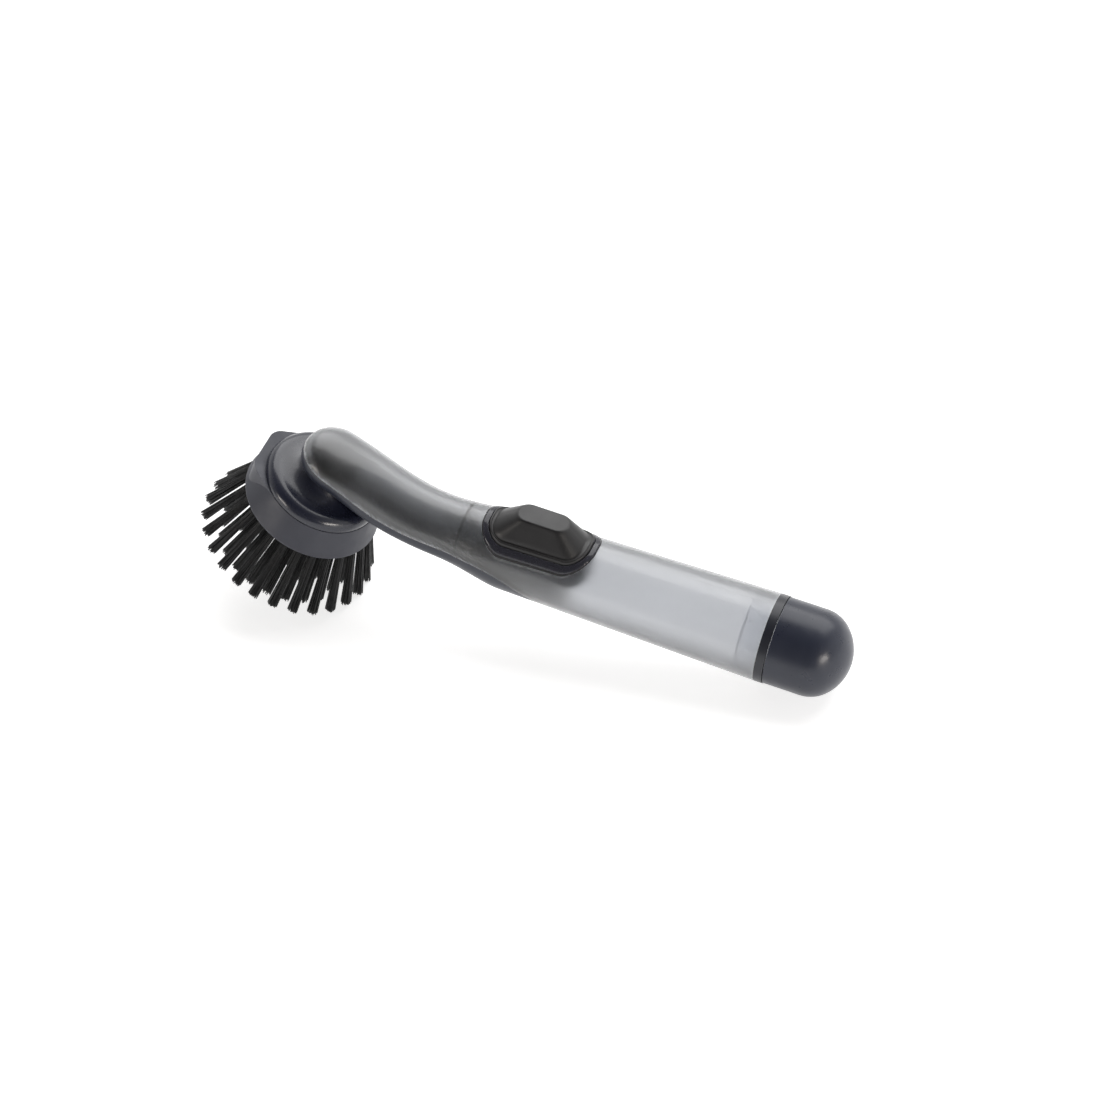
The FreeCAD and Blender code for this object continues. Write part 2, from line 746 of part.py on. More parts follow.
def make_pump_chamber():
    """Cup under the button: a shallow tray as long as the button and a deeper well in front."""
    tray = inset_prism("tray_block", OPENING_IN + " - chamber_rim", "tray_floor", "seam_radius")
    length = "well_front + well_rear"
    start = "-button_station - well_front"
    well = box("well_block", length, "2 * well_half_width", "well_depth + tray_floor",
               x=start, y="-well_half_width", z="-well_depth")
    trimmed = common("chamber_block", fuse("chamber_rough", tray, well), solid_feature("tube_inside", snug))
    barb = cylinder("outlet_barb", "barb_radius", "barb_length + chamber_wall",
                    x=start + " + chamber_wall", z="port_height", turn=ALONG_TUBE)
    tray_hollow = inset_prism("tray_hollow", OPENING_IN + " - part_gap", "tray_floor + chamber_wall",
                              "seam_radius + overrun")
    well_hollow = box("well_hollow", length + " - 2 * chamber_wall", "2 * (well_half_width - chamber_wall)",
                      "well_depth + tray_floor + overrun", x=start + " + chamber_wall",
                      y="chamber_wall - well_half_width", z="chamber_wall - well_depth")
    hollowed = cut("chamber_hollowed", fuse("chamber_with_barb", trimmed, barb), tray_hollow, well_hollow)
    rear = "well_rear - button_station - chamber_wall"
    lug_size = "2 * (flap_pin_radius + chamber_wall)"
    lugs = [box("flap_lug_%d" % number, lug_size, "lug_width", lug_size,
                x=rear + " - button_gap - flap_thickness / 2 - flap_pin_radius - chamber_wall",
                y=side, z="-flap_pin_radius - chamber_wall")
            for number, side in enumerate(("flap_half_width + button_gap",
                                           "-flap_half_width - button_gap - lug_width"))]
    port = cylinder("outlet_bore", "port_bore", "barb_length + 2 * chamber_wall + overrun",
                    x=start + " + 2 * chamber_wall", z="port_height", turn=ALONG_TUBE)
    inlet = cylinder("inlet_bore", "inlet_radius", "chamber_wall + 2 * overrun",
                     x=rear + " - overrun", z="-inlet_drop", turn=TOWARDS_CAP)
    span = "2 * (flap_half_width + button_gap + lug_width + overrun)"
    pin_way = cylinder("flap_pin_bore", "flap_pin_radius + running_gap", span,
                       x=rear + " - button_gap - flap_thickness / 2", y="-(" + span + ") / 2", turn=ACROSS)
    return cut("pump_chamber", fuse("chamber_with_lugs", hollowed, *lugs), port, inlet, pin_way)


def make_inlet_flap():
    """Check valve flap that hangs from its pin over the inlet."""
    rear = "well_rear - button_station - chamber_wall"
    plate = box("flap_plate", "flap_thickness", "2 * flap_half_width", "flap_length",
                x=rear + " - button_gap - flap_thickness", y="-flap_half_width", z="-flap_length")
    span = "2 * (flap_half_width + button_gap + lug_width)"
    pin = cylinder("flap_pin", "flap_pin_radius", span,
                   x=rear + " - button_gap - flap_thickness / 2", y="-(" + span + ") / 2", turn=ACROSS)
    return fuse("inlet_flap", plate, pin)


def head_frame():
    """Place of the head's frame in the handle's."""
    tilt = Rotation(Vector(0, 1, 0), value("head_tilt"))
    nose = Vector(-value("neck_reach"), 0, value("neck_rise"))
    return Placement(nose - tilt.multVec(Vector(0, 0, value("head_drop"))), tilt)


def make_delivery_hose():
    """Soft hose from the pump's barb to the valve housing's: two straight runs and one bend."""
    frame = head_frame()
    end = frame.multVec(Vector(value("housing_radius + button_gap"), 0, value(NOZZLE)))
    back = frame.Rotation.multVec(Vector(1, 0, 0))
    level = value("port_height")
    corner = end + back * ((end.z - level) / -back.z)
    start = Vector(-value("button_station + " + TRAY_HALF_LENGTH + " + button_gap"), 0, level)
    turn = math.radians(value("head_tilt"))
    bend = value("hose_bend")
    tangent = bend * math.tan(turn / 2)
    into, out_of = corner + Vector(tangent, 0, 0), corner - back * tangent
    centre = into + Vector(0, 0, bend)
    middle = centre - (centre - corner).normalize() * bend
    path = Part.Wire([Part.LineSegment(start, into).toShape(), Part.Arc(into, middle, out_of).toShape(),
                      Part.LineSegment(out_of, end).toShape()])
    bore = value("barb_radius + running_gap")
    tubes = []
    for radius in (bore + value("hose_wall"), bore):
        ring = Part.Wire([Part.makeCircle(radius, start, Vector(-1, 0, 0))])
        tubes.append(path.makePipeShell([ring], True, False))
    hose = tubes[0].cut(tubes[1])
    section = math.pi * ((bore + value("hose_wall")) ** 2 - bore**2)
    print("hose: bend %.1f mm, volume %.1f, section times length %.1f" % (bend, hose.Volume, section * path.Length))
    return solid_feature("delivery_hose", hose)


# Head pieces, in the head's frame
def make_head_mount():
    """Bell under the nose: boss up through the cover, spigot down into the brush base."""
    shoulder_top = "seam_gap + 2 * part_gap + bell_shoulder"
    seat = BELL_TOP + " + bell_seat_rise"
    run = "(bell_radius - bell_shoulder - bell_seat_radius)"
    rise = "(" + seat + " - (" + shoulder_top + "))"
    hollow = "(%s^2 + %s^2) / (2 * %s)" % (run, rise, rise)
    groove = "spigot_radius - ring_groove_depth"
    half_groove = "(ring_section + bond_gap)"
    bell = revolved("bell", [
        ("bell_bore", BELL_TOP + " + boss_height"),
        ("bell_bore", "valve_pocket_depth - spigot_reach"),
        ("valve_pocket_radius", "valve_pocket_depth - spigot_reach"),
        ("valve_pocket_radius", "-spigot_reach"),
        ("spigot_radius", "-spigot_reach"),
        ("spigot_radius", "-ring_drop - " + half_groove),
        (groove, "-ring_drop - " + half_groove),
        (groove, "-ring_drop + " + half_groove),
        ("spigot_radius", "-ring_drop + " + half_groove),
        ("spigot_radius", shoulder_top + " + bell_wall / 2"),
        ("bell_radius - bell_shoulder", shoulder_top + " - bell_wall"),
        ("bell_radius - bell_wall", "seam_gap + bell_wall"),
        ("bell_radius - bell_wall", "seam_gap"),
        ("bell_radius", "seam_gap"),
        ("bell_radius", "seam_gap + 2 * part_gap"),
        ("bell_radius - bell_shoulder", shoulder_top),
        ("bell_seat_radius", seat),
        ("boss_radius", seat),
        ("boss_radius", BELL_TOP + " + boss_height"),
    ], {14: ("bell_shoulder", 1), 15: (hollow, -1)})
    nose, up = neck_station(NECK_SHARES[-1])[:2]
    depth = value("cover_depth + overrun")
    around = Part.makeCylinder(value("boss_radius + bond_gap"), 2 * depth, nose - up * depth, up)
    underside = solid_feature("neck_underside", envelope(-value("part_gap"), 0.0).cut(around))
    underside.Placement = head_frame().inverse()
    return cut("head_mount", bell, underside)


def make_slit_valve():
    """Rubber cup with crossed slits in its floor, hung by its flange."""
    top = "valve_pocket_depth - spigot_reach - bond_gap"
    flange = top + " - valve_flange"
    floor = flange + " - valve_cup_depth"
    cup = revolved("valve_cup", [
        ("0", floor),
        ("valve_cup_radius", floor),
        ("valve_cup_radius", flange),
        ("valve_pocket_radius - bond_gap", flange),
        ("valve_pocket_radius - bond_gap", top),
        ("valve_cup_radius - valve_skin", top),
        ("valve_cup_radius - valve_skin", floor + " + valve_skin"),
        ("0", floor + " + valve_skin"),
    ])
    reach = "valve_cup_radius - 2 * valve_skin"
    depth = "valve_skin + 2 * overrun"
    slits = [
        box("slit_long", "2 * (" + reach + ")", "slit_width", depth,
            x="-(" + reach + ")", y="-slit_width / 2", z=floor + " - overrun"),
        box("slit_cross", "slit_width", "2 * (" + reach + ")", depth,
            x="-slit_width / 2", y="-(" + reach + ")", z=floor + " - overrun"),
    ]
    return cut("slit_valve", cup, *slits)


def make_valve_retainer():
    """Ring pressed into the spigot's mouth under the valve's flange."""
    top = "valve_pocket_depth - spigot_reach - valve_flange - 2 * bond_gap"
    return revolved("valve_retainer", [
        ("retainer_bore", "-spigot_reach"),
        ("valve_pocket_radius - bond_gap", "-spigot_reach"),
        ("valve_pocket_radius - bond_gap", top),
        ("retainer_bore", top),
    ])


def make_mount_o_ring():
    """Rubber ring in the spigot's groove, which seals and holds the brush base."""
    ring = doc.addObject("Part::Torus", "mount_o_ring")
    bind(ring, Radius1="spigot_radius - ring_groove_depth + ring_section + bond_gap", Radius2="ring_section")
    place(ring, z="-ring_drop")
    return ring


def make_valve_housing():
    """Round housing on the boss inside the nose, with the barb that takes the hose."""
    floor = COVER_FLOOR + " + bond_gap"
    top = COVER_FLOOR + " + housing_height"
    bore = "boss_radius + bond_gap"
    step = BELL_TOP + " + boss_height + bond_gap"
    pot = revolved("housing_pot", [
        (bore, floor),
        ("housing_radius", floor),
        ("housing_radius", top + " - housing_crown"),
        ("housing_radius - housing_crown", top),
        ("0", top),
        ("0", top + " - housing_wall"),
        ("housing_radius - housing_crown", top + " - housing_wall"),
        ("housing_radius - housing_wall - housing_wall / 2", top + " - housing_crown"),
        ("housing_radius - housing_wall - housing_wall / 2", step),
        (bore, step),
    ], {2: ("housing_crown", 1)})
    barb = cylinder("housing_barb", "barb_radius", "housing_wall + barb_length",
                    x="housing_radius - housing_wall", z=NOZZLE, turn=TOWARDS_CAP)
    bore = cylinder("housing_bore", "port_bore", "2 * housing_wall + barb_length + overrun",
                    x="housing_radius - 2 * housing_wall", z=NOZZLE, turn=TOWARDS_CAP)
    bored = cut("housing_bored", fuse("housing_with_barb", pot, barb), bore)
    inside = solid_feature("neck_inside", snug)
    inside.Placement = head_frame().inverse()
    return common("valve_housing", bored, inside)


def scraper_sketch(label, share, height):
    """Plan of the scraper lip, with rounded corners, drawn in by a share."""
    reach = "scraper_reach * %g" % share
    half = "scraper_half_width * %g" % share
    root_x, root_y = ["base_top_radius * %g" % (side * share) for side in SCRAPER_SIDE_SHARES]
    turn = "scraper_half_width * %g" % (SCRAPER_ROUND_SHARE * share)
    sketch = doc.addObject("Sketcher::SketchObject", label)
    run = "((%s) - (%s))" % (reach, root_x)
    drop = "((%s) - (%s))" % (root_y, half)
    slope = "sqrt(%s^2 + %s^2)" % (run, drop)
    corner_x = "(%s) - (%s) * %s / %s" % (reach, turn, run, slope)
    corner_y = "(%s) + (%s) * %s / %s" % (half, turn, drop, slope)
    lead = "((%s) - (%s))" % (half, turn)
    bend = "(%s) / tan(atan(%s / %s) / 2)" % (turn, run, drop)
    draw(sketch, [
        ("-(%s)" % root_x, "-(%s)" % root_y),
        ("-(%s)" % root_x, root_y),
        ("-(%s)" % corner_x, corner_y),
        ("-(%s)" % reach, lead),
        ("-(%s)" % reach, "-%s" % lead),
        ("-(%s)" % corner_x, "-(%s)" % corner_y),
    ], {2: (bend, 1), 4: (bend, 1)})
    place(sketch, z=height)
    return sketch


def ring_tufts(ring):
    """Foot and direction of each tuft of a ring, in the head's frame."""
    count = int(value(ring + "_count"))
    near, far = value(ring + "_ring_radius"), value(ring + "_tip_ring_radius")
    for number in range(count):
        angle = 2 * math.pi * (number + RING_PHASE_SHARES[ring]) / count
        out = Vector(math.cos(angle), math.sin(angle), 0)
        way = (out * (far - near) + Vector(0, 0, -value(ring + "_tip_depth"))).normalize()
        yield out * near + Vector(0, 0, -value("base_depth")), way


def tuft_reach(ring):
    """Length of a ring's tufts from the face to the tip."""
    return "sqrt((%s_tip_ring_radius - %s_ring_radius)^2 + %s_tip_depth^2)" % (ring, ring, ring)


def make_tufts(ring):
    """One ring of tufts, each a bundle that opens towards its tip."""
    tufts = []
    for number, (foot, way) in enumerate(ring_tufts(ring)):
        tuft = doc.addObject("Part::Cone", "%s_tuft_%d" % (ring, number))
        bind(tuft, Radius1="tuft_base_radius", Radius2="tuft_tip_radius",
             Height=tuft_reach(ring) + " + tuft_hole_depth - anchor_height")
        start = foot - way * value("tuft_hole_depth - anchor_height")
        tuft.Placement = Placement(start, Rotation(Vector(0, 0, 1), way))
        tufts.append(tuft)
    group = doc.addObject("Part::Compound", ring + "_tufts")
    group.Links = tufts
    return group


def make_tuft_anchors():
    """Flat metal anchors at the bottom of the tuft holes."""
    anchors = []
    for ring in RINGS:
        for number, (foot, way) in enumerate(ring_tufts(ring)):
            anchor = doc.addObject("Part::Box", "%s_anchor_%d" % (ring, number))
            bind(anchor, Length="anchor_length", Width="anchor_thickness", Height="anchor_height - bond_gap")
            turn = Rotation(Vector(0, 0, 1), way)
            corner = Vector(-value("anchor_length / 2"), -value("anchor_thickness / 2"), 0)
            spot = foot - way * value("tuft_hole_depth") + turn.multVec(corner)
            anchor.Placement = Placement(spot, turn)
            anchors.append(anchor)
    group = doc.addObject("Part::Compound", "tuft_anchors")
    group.Links = anchors
    return group


def make_brush_base():
    """Collar with the scraper lip, the hub that fits the spigot, the outlet and the tuft holes."""
    block = revolved("base_block", [
        ("0", "-base_depth"),
        ("base_rim_radius - base_rim_round", "-base_depth"),
        ("base_rim_radius", "base_rim_round - base_depth"),
        ("base_top_radius", "0"),
        ("0", "0"),
    ], {1: ("base_rim_round", 1)})
    lip = doc.addObject("Part::Loft", "scraper_lip")
    lip.Sections = [scraper_sketch("lip_foot", SCRAPER_FOOT_SHARE, "scraper_foot - base_depth"),
                    scraper_sketch("lip_edge", 1.0, "0")]
    lip.Solid = True
    lip.Ruled = True
    plate = "plate_thickness - base_depth"
    flare = "(base_rim_radius - base_top_radius) / base_depth"
    inside = "base_top_radius - base_wall"
    hollow = revolved("base_hollow", [
        ("0", "hub_floor - base_depth"),
        ("hub_bore", "hub_floor - base_depth"),
        ("hub_bore", "-hub_top_gap"),
        ("hub_radius", "-hub_top_gap"),
        ("hub_radius", plate),
        (inside + " + (base_depth - plate_thickness) * " + flare, plate),
        (inside, "0"),
        (inside, "overrun"),
        ("0", "overrun"),
    ])
    outlet = cylinder("outlet_hole", "outlet_radius", "base_depth + overrun", z="-base_depth - overrun")
    holes = []
    for ring in RINGS:
        for number, (foot, way) in enumerate(ring_tufts(ring)):
            hole = doc.addObject("Part::Cylinder", "%s_hole_%d" % (ring, number))
            bind(hole, Radius="tuft_base_radius + tuft_hole_gap", Height="tuft_hole_depth + overrun")
            hole.Placement = Placement(foot - way * value("tuft_hole_depth"), Rotation(Vector(0, 0, 1), way))
            holes.append(hole)
    tufting = doc.addObject("Part::Compound", "tuft_holes")
    tufting.Links = holes
    return cut("brush_base", fuse("base_with_lip", block, lip), hollow, outlet, tufting)


# How the wand lies at rest
def rest_pitch():
    """Angle at which the rear tufts and the cap's shoulder touch one plane."""
    frame = head_frame()
    shoulder = value("cap_shoulder_radius")
    pivot = Vector(value(CAP_START + " + cap_barrel"), 0, shoulder - value("cap_radius"))
    length, end_radius = value(tuft_reach("outer")), value("tuft_tip_radius")
    tips = [(frame.multVec(foot + way * length), frame.Rotation.multVec(way)) for foot, way in ring_tufts("outer")]
    low, high = 0.0, 45.0
    for _ in range(50):
        pitch = (low + high) / 2
        down = Vector(math.sin(math.radians(pitch)), 0, -math.cos(math.radians(pitch)))
        reach = [tip.dot(down) + end_radius * (down - way * way.dot(down)).Length for tip, way in tips]
        if max(reach) > pivot.dot(down) + shoulder:
            low = pitch
        else:
            high = pitch
    return pitch


HANDLE_PIECES = (
    make_handle_shell, make_neck_cover, make_filler_collar, make_collar_band, make_end_cap, make_cap_gasket,
    make_cap_insert, make_vent_valve, make_button_bezel, make_button_skirt, make_push_button,
    make_pump_chamber, make_inlet_flap, make_delivery_hose,
)
HEAD_PIECES = (
    make_head_mount, make_slit_valve, make_valve_retainer, make_mount_o_ring, make_valve_housing,
    make_tuft_anchors, make_brush_base,
)

pieces = [(make(), Placement()) for make in HANDLE_PIECES]
pieces += [(make(), head_frame()) for make in HEAD_PIECES]
pieces += [(make_tufts(ring), head_frame()) for ring in RINGS]
doc.recompute()

# Lay the wand down, with the middle of its footprint at the origin
lie = Placement(Vector(), Rotation(Vector(0, 1, 0), rest_pitch()))
boxes = []
for item, frame in pieces:
    laid = item.Shape.copy()
    laid.Placement = lie.multiply(frame).multiply(item.Placement)
    boxes.append(laid.optimalBoundingBox(False, False))
shift = Vector(-(min(one.XMin for one in boxes) + max(one.XMax for one in boxes)) / 2, 0,
               -min(one.ZMin for one in boxes))
lie = Placement(shift, lie.Rotation)
for item, frame in pieces:
    item.setExpression("Placement.Base.x", None)
    item.setExpression("Placement.Base.y", None)
    item.setExpression("Placement.Base.z", None)
    item.Placement = lie.multiply(frame).multiply(item.Placement)
doc.recompute()

for item in doc.Objects:
    if "Invalid" in item.State or "Error" in item.State:
        raise RuntimeError("%s failed: %s" % (item.Label, item.State))
for item, frame in pieces:
    if item.Shape.isNull() or not item.Shape.isValid() or not item.Shape.Solids:
        raise RuntimeError("%s has no valid solid" % item.Label)

os.makedirs("parts", exist_ok=True)
for item, frame in pieces:
    item.Shape.exportStep(os.path.join("parts", item.Label + ".step"))
    print("%-16s %3d solids %9.1f mm3" % (item.Label, len(item.Shape.Solids), item.Shape.Volume))
print("rest pitch %.3f deg, shift %.3f %.3f" % (rest_pitch(), shift.x, shift.z))
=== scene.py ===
import bpy
import math
import random
from mathutils import Matrix, Vector


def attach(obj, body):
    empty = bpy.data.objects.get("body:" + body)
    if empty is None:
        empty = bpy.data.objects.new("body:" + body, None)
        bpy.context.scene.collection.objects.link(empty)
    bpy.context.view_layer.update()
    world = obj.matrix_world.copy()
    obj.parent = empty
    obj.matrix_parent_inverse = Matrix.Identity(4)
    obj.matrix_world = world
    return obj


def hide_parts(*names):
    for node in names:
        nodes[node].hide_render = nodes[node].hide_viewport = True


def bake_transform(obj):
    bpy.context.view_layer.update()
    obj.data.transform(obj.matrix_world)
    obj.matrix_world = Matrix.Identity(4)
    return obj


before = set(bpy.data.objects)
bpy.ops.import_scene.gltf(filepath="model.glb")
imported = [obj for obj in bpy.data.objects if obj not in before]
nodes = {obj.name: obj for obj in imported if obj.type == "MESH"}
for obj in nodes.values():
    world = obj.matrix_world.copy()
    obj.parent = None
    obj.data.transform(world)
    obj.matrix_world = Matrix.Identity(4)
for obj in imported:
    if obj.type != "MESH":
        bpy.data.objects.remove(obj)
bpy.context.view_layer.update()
scene = bpy.context.scene
MM = 0.001

# Where the wand and its head lie, in millimetres and degrees
PITCH = 8.611
WAND_SHIFT = (104.625, 0.0, 21.125)
HEAD_SPOT = (-194.62, 0.0, 2.55)
HEAD_TILT = 19.2

# Tube and button
SEAM_RADIUS = 18.5
TUBE_DRAFT = 1.18
BUTTON_STATION = 99.4
BEZEL = (24.0, 13.6, 11.5)
BEZEL_RING = 2.4
BEZEL_PROUD = 0.5
BEZEL_ROUND = 0.22
JOINT_WIDTH = 0.4
JOINT_DEPTH = 0.2
JOINT_PROUD = 0.12
JOINT_ROUND = 0.3
BAND_SHOULDER = 0.35
BAND_STEPS = 6
SEAT_DEPTH = 0.85
LIP_INSET = 2.5
LIP_WIDTH = 1.0
STEM_INSET = 3.8
FOOT = (25.0, 10.6, 10.3)
FOOT_HEIGHT = 12.5
CROWN = (10.5, 5.3, 4.6)
CROWN_HEIGHT = 24.2
LIP_SECTION = ((0.0, -0.85), (0.0, 0.1), (0.0, 0.5), (0.06, 0.8), (0.17, 1.0), (0.32, 1.13), (0.5, 1.17),
               (0.68, 1.13), (0.83, 1.0), (0.94, 0.82))
VALLEY = 0.12
SHOULDER_DROP = 0.8
SHOULDER_RUN = 0.7
TOP_DISH = 0.12
TOP_SHARES = (0.7, 0.4, 0.15)
FOOT_BLEND = 0.8
SLOPE_STEPS = 14
SHOULDER_STEPS = 8
AROUND = 144
HALVINGS = 40

# Brush
FACE_DEPTH = 12.8
TUFT_SINK = 2.0
FILAMENT_RADIUS = 0.2
FILAMENT_SIDES = 5
FILAMENTS = 72
FILAMENT_TURN = 0.25
FILAMENT_STRAY = 0.15
FILAMENT_CUT = 0.9
BUNDLE_FOOT = 1.3
BUNDLE_TIP = 2.15
BUNDLE_WAIST = 0.12
STRAY_AT_MIDDLE = 0.3

# Each ring's name, count, radius at the face and at the tips, depth and phase
RINGS = (
    ("outer", 26, 26.0, 36.8, 27.3, 0.5),
    ("second", 22, 19.6, 28.0, 31.0, 0.0),
    ("third", 14, 13.0, 18.6, 32.0, 0.5),
    ("inner", 8, 7.2, 10.5, 32.5, 0.0),
)

# Camera, in the wand's millimetres
CAMERA_SPOT = (225.6, -1229.1, 1228.8)
CAMERA_RIGHT = (0.9329, 0.3452, 0.1025)
CAMERA_UP = (-0.3107, 0.6279, 0.7136)
CAMERA_LENS = 142.13
CAMERA_CLIP = 50

# Studio, in metres and watts
OVERHEAD = ((0.45, 0.85), (1.0, 0.3))
FRONT = ((-0.5, 0.1), (0.2, 1.0))
DIFFUSE_SHARE = 0.5
FLOOR_HALF = 6.0
FLOOR_TONE = 0.82
FLOOR_ROUGHNESS = 0.9
FLOOR_SPECULAR = 0.1
FLOOR_GLOW = 0.7
WHITE = (1.0, 1.0, 1.0)
WARM = (1.0, 0.94, 0.88)

# Each softbox's name, place, aim, size, power and colour
SOFTBOXES = (
    ("back", (0.05, 0.85, 1.2), (0, 0, 0.03), (2.0, 1.25), 20.0, WHITE),
    ("right", (1.05, -0.65, 0.3), (0.1, 0, 0.03), (0.45, 0.22), 5.0, WARM),
    ("left", (-0.8, -0.85, 0.3), (-0.08, 0, 0.04), (0.45, 0.25), 2.6, WARM),
)

to_row = Matrix.Translation(Vector(WAND_SHIFT)) @ Matrix.Rotation(math.radians(PITCH), 4, "Y")
head_to_wand = Matrix.Translation(Vector(HEAD_SPOT)) @ Matrix.Rotation(math.radians(HEAD_TILT), 4, "Y")
head_to_row = to_row @ head_to_wand


def row(point):
    """A point of the wand in the row frame, in metres."""
    return (to_row @ Vector(point)) * MM


def turn(way):
    """A direction of the wand in the row frame."""
    return (to_row.to_3x3() @ Vector(way)).normalized()


# Materials

# Scales of the textures per metre, and how far the painted highlight along edges reaches in millimetres
TONE_DRIFT = 45
WEAR_PATCHES = 160
CLEAR_DRIFT = 30
CLEAR_FROST = 60
EDGE_HIGHLIGHT_RADIUS = 0.65
EDGE_SPAN = (0.8, 0.97)
SMOKE_TINT = (0.5, 0.512, 0.53, 1)


def srgb(red, green, blue):
    """A colour given in display values from 0 to 255."""
    shares = (value / 255 for value in (red, green, blue))
    return tuple(v / 12.92 if v <= 0.04045 else ((v + 0.055) / 1.055) ** 2.4 for v in shares) + (1.0,)


class Finish:
    """A node material with its shader, where each texture is seated in object space."""

    def __init__(self, name, **constants):
        self.material = bpy.data.materials.new(name)
        self.material.use_nodes = True
        self.tree = self.material.node_tree
        self.shader = self.tree.nodes["Principled BSDF"]
        self.place = self.add("ShaderNodeTexCoord").outputs["Object"]
        for socket, value in constants.items():
            self.shader.inputs[socket.replace("_", " ")].default_value = value

    def add(self, kind):
        return self.tree.nodes.new(kind)

    def link(self, source, target):
        self.tree.links.new(source, target)

    def noise(self, scale, detail=3.0):
        texture = self.add("ShaderNodeTexNoise")
        texture.inputs["Scale"].default_value = scale
        texture.inputs["Detail"].default_value = detail
        self.link(self.place, texture.inputs["Vector"])
        return texture.outputs["Fac"]

    def spread(self, source, low, high, start=0.3, end=0.7):
        """Maps a texture from low to high."""
        span = self.add("ShaderNodeMapRange")
        for socket, value in (("From Min", start), ("From Max", end), ("To Min", low), ("To Max", high)):
            span.inputs[socket].default_value = value
        self.link(source, span.inputs["Value"])
        return span.outputs["Result"]

    def tint(self, source, first, second, start=0.3, end=0.7):
        """Colour that wanders between two tones."""
        ramp = self.add("ShaderNodeValToRGB")
        ramp.color_ramp.elements[0].position = start
        ramp.color_ramp.elements[1].position = end
        ramp.color_ramp.elements[0].color = first
        ramp.color_ramp.elements[1].color = second
        self.link(source, ramp.inputs["Fac"])
        self.link(ramp.outputs["Color"], self.shader.inputs["Base Color"])

    def rough(self, source, low, high):
        self.link(self.spread(source, low, high), self.shader.inputs["Roughness"])

    def bump(self, source, strength, depth):
        """Relief of a depth in millimetres."""
        relief = self.add("ShaderNodeBump")
        relief.inputs["Strength"].default_value = strength
        relief.inputs["Distance"].default_value = depth * MM
        self.link(source, relief.inputs["Height"])
        self.link(relief.outputs["Normal"], self.shader.inputs["Normal"])

    def edges(self, radius):
        """One along sharp edges and zero elsewhere, within a radius in millimetres."""
        # Bevel normals mark the edges that carry the painted highlight of clear plastic
        highlight_bevel = self.add("ShaderNodeBevel")
        highlight_bevel.inputs["Radius"].default_value = radius * MM
        turned = self.add("ShaderNodeVectorMath")
        turned.operation = "DOT_PRODUCT"
        self.link(highlight_bevel.outputs["Normal"], turned.inputs[0])
        self.link(self.add("ShaderNodeNewGeometry").outputs["Normal"], turned.inputs[1])
        return self.spread(turned.outputs["Value"], 1.0, 0.0, *EDGE_SPAN)


def moulded(name, dark, pale, rough, grain, strength, depth, **constants):
    """Moulded plastic or rubber with a fine grain, a slow drift of tone and patches of wear."""
    finish = Finish(name, **constants)
    finish.tint(finish.noise(TONE_DRIFT), srgb(*dark), srgb(*pale))
    finish.rough(finish.noise(WEAR_PATCHES, 5), *rough)
    finish.bump(finish.noise(grain, 4), strength, depth)
    return finish.material


def clear(name, rough, density, **constants):
    """Clear plastic, faintly frosted by its moulding, whitened along its edges as a painted highlight, and
    tinted by its density.
    """
    finish = Finish(name, **constants)
    finish.tint(finish.noise(CLEAR_DRIFT), srgb(245, 246, 248), srgb(249, 250, 252))
    finish.rough(finish.noise(CLEAR_FROST, 2), *rough)
    # Edges lose their transmission and show the near-white base colour: a painted highlight along the edges
    clear_except_edge_highlight = finish.spread(finish.edges(EDGE_HIGHLIGHT_RADIUS), 1.0, 0.0, 0.0, 1.0)
    finish.link(clear_except_edge_highlight, finish.shader.inputs["Transmission Weight"])
    if density:
        tint = finish.add("ShaderNodeVolumeAbsorption")
        tint.inputs["Color"].default_value = SMOKE_TINT
        tint.inputs["Density"].default_value = density
        finish.link(tint.outputs["Volume"], finish.tree.nodes["Material Output"].inputs["Volume"])
    return finish.material


def bristle():
    """Black nylon filament, ribbed along its length."""
    finish = Finish("bristle", Specular_IOR_Level=0.35)
    finish.tint(finish.noise(700, 2), srgb(4, 4, 6), srgb(14, 14, 16))
    finish.rough(finish.noise(500, 2), 0.32, 0.5)
    finish.bump(finish.noise(2500, 2), 0.1, 0.02)
    return finish.material


